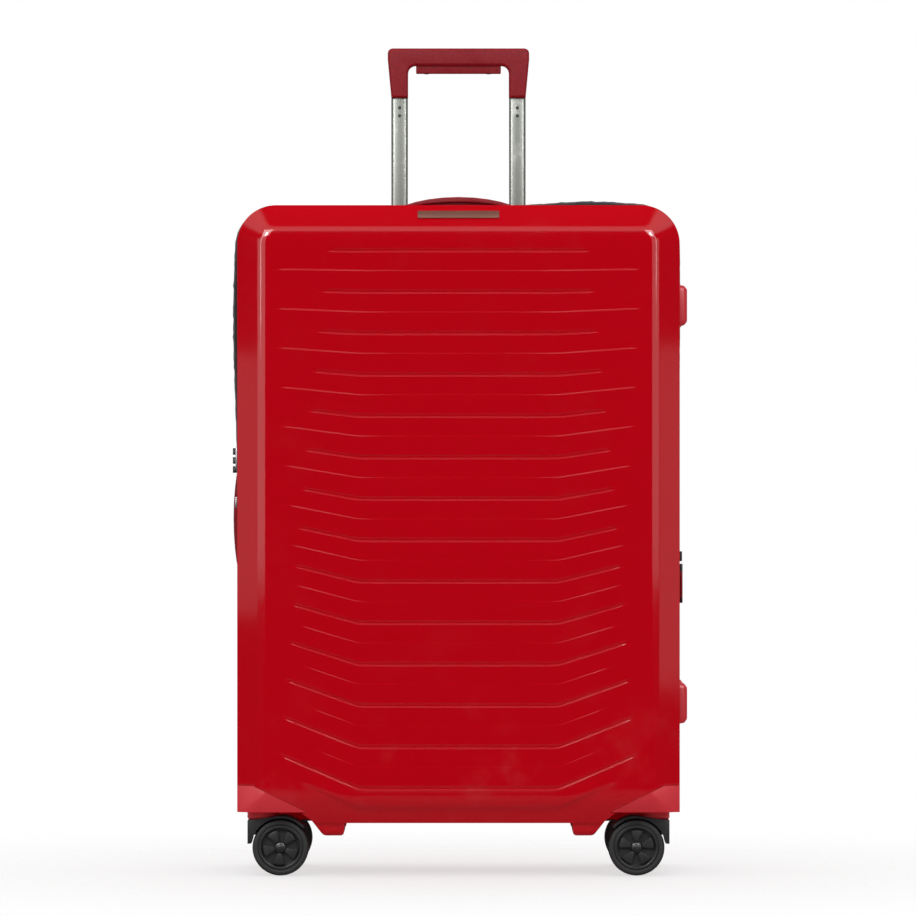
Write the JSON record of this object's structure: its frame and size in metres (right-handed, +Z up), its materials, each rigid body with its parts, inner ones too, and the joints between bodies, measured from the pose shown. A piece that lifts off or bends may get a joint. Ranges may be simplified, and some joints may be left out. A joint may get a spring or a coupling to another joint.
{
  "type": "upright suitcase",
  "caption": "Hard-shell upright suitcase on swivel casters, with a telescoping pull handle, carry handles, a zip-round opening, an expansion band and a combination lock.",
  "frame": {"origin": "on the floor, under the middle of the case", "axes": "+Z up along the case's height, -Y out of the ribbed front face, +X towards the side with the hinge"},
  "size_m": [0.475, 0.284, 0.866],
  "materials": {
    "shell_red": "glossy moulded red shell",
    "satin_red": "satin moulded red",
    "grip_red": "soft matte dark red",
    "coral": "satin coral plate",
    "black_plastic": "matte black moulding",
    "black_fabric": "woven black tape",
    "lining_grey": "dark grey liner",
    "tube_metal": "satin grey-green anodised tube",
    "tyre_black": "black caster wheel",
    "zinc": "satin die-cast metal"
  },
  "bodies": {
    "back_half": {"back_shell": "shell_red", "back_lining": "lining_grey", "back_zip_tape": "black_fabric", "trolley_tray": "black_plastic", "trolley_outer_left": "tube_metal", "trolley_outer_right": "tube_metal", "trolley_foot": "black_plastic", "guard_back_left": "satin_red", "guard_back_right": "satin_red", "side_foot_back_upper": "satin_red", "side_foot_back_lower": "satin_red", "lock_housing": "black_plastic", "top_handle_base": "black_plastic", "side_handle_base": "black_plastic", "strap_rising": "black_fabric", "strap_falling": "black_fabric", "strap_clip": "black_plastic", "zip_slider_upper": "zinc", "zip_slider_lower": "zinc"},
    "front_band": {"front_band": "black_fabric", "expansion_slider": "black_plastic", "expansion_gusset": "black_fabric"},
    "front_half": {"front_shell": "shell_red", "front_lining": "lining_grey", "front_zip_tape": "black_fabric", "name_plate": "coral", "guard_front_left": "satin_red", "guard_front_right": "satin_red", "side_foot_front_upper": "satin_red", "side_foot_front_lower": "satin_red"},
    "trolley_lower": {"trolley_mid_left": "tube_metal", "trolley_mid_right": "tube_metal"},
    "trolley_upper": {"trolley_top_left": "tube_metal", "trolley_top_right": "tube_metal", "trolley_grip": "grip_red"},
    "grip_button": {"grip_button": "black_plastic", "release_rod_left": "zinc", "release_rod_right": "zinc"},
    "top_handle": {"top_handle": "grip_red"},
    "side_handle": {"side_handle": "grip_red"},
    "lock_dial_1": {"lock_dial_1": "black_plastic"},
    "lock_dial_2": {"lock_dial_2": "black_plastic"},
    "lock_dial_3": {"lock_dial_3": "black_plastic"},
    "lock_catch": {"lock_catch": "zinc"},
    "lock_key": {"lock_key_barrel": "zinc"},
    "zip_pull_upper": {"zip_pull_upper": "zinc"},
    "zip_pull_lower": {"zip_pull_lower": "zinc"},
    "expansion_pull": {"expansion_pull": "grip_red"},
    "caster_front_left": {"caster_front_left_fork": "black_plastic"},
    "caster_front_left_wheel_front": {"caster_front_left_wheel_front": "tyre_black"},
    "caster_front_left_wheel_rear": {"caster_front_left_wheel_rear": "tyre_black"},
    "caster_front_right": {"caster_front_right_fork": "black_plastic"},
    "caster_front_right_wheel_front": {"caster_front_right_wheel_front": "tyre_black"},
    "caster_front_right_wheel_rear": {"caster_front_right_wheel_rear": "tyre_black"},
    "caster_back_left": {"caster_back_left_fork": "black_plastic"},
    "caster_back_left_wheel_front": {"caster_back_left_wheel_front": "tyre_black"},
    "caster_back_left_wheel_rear": {"caster_back_left_wheel_rear": "tyre_black"},
    "caster_back_right": {"caster_back_right_fork": "black_plastic"},
    "caster_back_right_wheel_front": {"caster_back_right_wheel_front": "tyre_black"},
    "caster_back_right_wheel_rear": {"caster_back_right_wheel_rear": "tyre_black"}
  },
  "joints": [
    {"name": "case_opening", "type": "hinge", "parent": "back_half", "child": "front_band", "pos_m": [0.231, 0, 0.37365], "axis": [0, 0, 1], "range_deg": [0, 150]},
    {"name": "case_expansion", "type": "slide", "parent": "front_band", "child": "front_half", "axis": [0, -1, 0], "range_m": [0, 0.025], "deforming": ["expansion_gusset"]},
    {"name": "handle_lower_stage", "type": "slide", "parent": "back_half", "child": "trolley_lower", "axis": [0, 0, 1], "range_m": [0, 0.19]},
    {"name": "handle_upper_stage", "type": "slide", "parent": "trolley_lower", "child": "trolley_upper", "axis": [0, 0, 1], "range_m": [-0.148, 0.056]},
    {"name": "grip_button_press", "type": "slide", "parent": "trolley_upper", "child": "grip_button", "axis": [0, 0, 1], "range_m": [0, 0.005], "stiffness_N_per_m": 900, "springref_m": -0.003},
    {"name": "top_handle_lift", "type": "slide", "parent": "back_half", "child": "top_handle", "axis": [0, 0, 1], "range_m": [0, 0.012], "stiffness_N_per_m": 400, "springref_m": -0.003},
    {"name": "side_handle_lift", "type": "slide", "parent": "back_half", "child": "side_handle", "axis": [-1, 0, 0], "range_m": [0, 0.012], "stiffness_N_per_m": 400, "springref_m": -0.003},
    {"name": "lock_dial_1_turn", "type": "hinge", "parent": "back_half", "child": "lock_dial_1", "pos_m": [-0.2305, 0.029, 0.4195], "axis": [0, 0, 1], "continuous": true},
    {"name": "lock_dial_2_turn", "type": "hinge", "parent": "back_half", "child": "lock_dial_2", "pos_m": [-0.2305, 0.029, 0.429], "axis": [0, 0, 1], "continuous": true},
    {"name": "lock_dial_3_turn", "type": "hinge", "parent": "back_half", "child": "lock_dial_3", "pos_m": [-0.2305, 0.029, 0.4385], "axis": [0, 0, 1], "continuous": true},
    {"name": "lock_catch_slide", "type": "slide", "parent": "back_half", "child": "lock_catch", "axis": [0, 0, -1], "range_m": [0, 0.0045], "stiffness_N_per_m": 300, "springref_m": -0.002},
    {"name": "lock_key_turn", "type": "hinge", "parent": "back_half", "child": "lock_key", "pos_m": [-0.23, 0.024, 0.457], "axis": [-1, 0, 0], "range_deg": [0, 90]},
    {"name": "zip_pull_upper_swing", "type": "hinge", "parent": "back_half", "child": "zip_pull_upper", "pos_m": [-0.233, 0.0075, 0.479], "axis": [0, 0, 1], "range_deg": [0, 100]},
    {"name": "zip_pull_lower_swing", "type": "hinge", "parent": "back_half", "child": "zip_pull_lower", "pos_m": [-0.233, 0.0075, 0.385], "axis": [0, 0, 1], "range_deg": [0, 100]},
    {"name": "expansion_pull_swing", "type": "hinge", "parent": "front_band", "child": "expansion_pull", "pos_m": [0.233, -0.0142, 0.32125], "axis": [-1, 0, 0], "range_deg": [0, 90]},
    {"name": "caster_front_left_swivel", "type": "hinge", "parent": "front_half", "child": "caster_front_left", "pos_m": [-0.202, -0.095, 0.0657], "axis": [0, 0, 1], "continuous": true},
    {"name": "caster_front_left_wheel_front_spin", "type": "hinge", "parent": "caster_front_left", "child": "caster_front_left_wheel_front", "pos_m": [-0.184, -0.1078, 0.029], "axis": [0, 1, 0], "continuous": true},
    {"name": "caster_front_left_wheel_rear_spin", "type": "hinge", "parent": "caster_front_left", "child": "caster_front_left_wheel_rear", "pos_m": [-0.184, -0.0822, 0.029], "axis": [0, 1, 0], "continuous": true},
    {"name": "caster_front_right_swivel", "type": "hinge", "parent": "front_half", "child": "caster_front_right", "pos_m": [0.202, -0.095, 0.0657], "axis": [0, 0, 1], "continuous": true},
    {"name": "caster_front_right_wheel_front_spin", "type": "hinge", "parent": "caster_front_right", "child": "caster_front_right_wheel_front", "pos_m": [0.184, -0.1078, 0.029], "axis": [0, 1, 0], "continuous": true},
    {"name": "caster_front_right_wheel_rear_spin", "type": "hinge", "parent": "caster_front_right", "child": "caster_front_right_wheel_rear", "pos_m": [0.184, -0.0822, 0.029], "axis": [0, 1, 0], "continuous": true},
    {"name": "caster_back_left_swivel", "type": "hinge", "parent": "back_half", "child": "caster_back_left", "pos_m": [-0.202, 0.095, 0.0657], "axis": [0, 0, 1], "continuous": true},
    {"name": "caster_back_left_wheel_front_spin", "type": "hinge", "parent": "caster_back_left", "child": "caster_back_left_wheel_front", "pos_m": [-0.184, 0.0822, 0.029], "axis": [0, 1, 0], "continuous": true},
    {"name": "caster_back_left_wheel_rear_spin", "type": "hinge", "parent": "caster_back_left", "child": "caster_back_left_wheel_rear", "pos_m": [-0.184, 0.1078, 0.029], "axis": [0, 1, 0], "continuous": true},
    {"name": "caster_back_right_swivel", "type": "hinge", "parent": "back_half", "child": "caster_back_right", "pos_m": [0.202, 0.095, 0.0657], "axis": [0, 0, 1], "continuous": true},
    {"name": "caster_back_right_wheel_front_spin", "type": "hinge", "parent": "caster_back_right", "child": "caster_back_right_wheel_front", "pos_m": [0.184, 0.0822, 0.029], "axis": [0, 1, 0], "continuous": true},
    {"name": "caster_back_right_wheel_rear_spin", "type": "hinge", "parent": "caster_back_right", "child": "caster_back_right_wheel_rear", "pos_m": [0.184, 0.1078, 0.029], "axis": [0, 1, 0], "continuous": true}
  ]
}
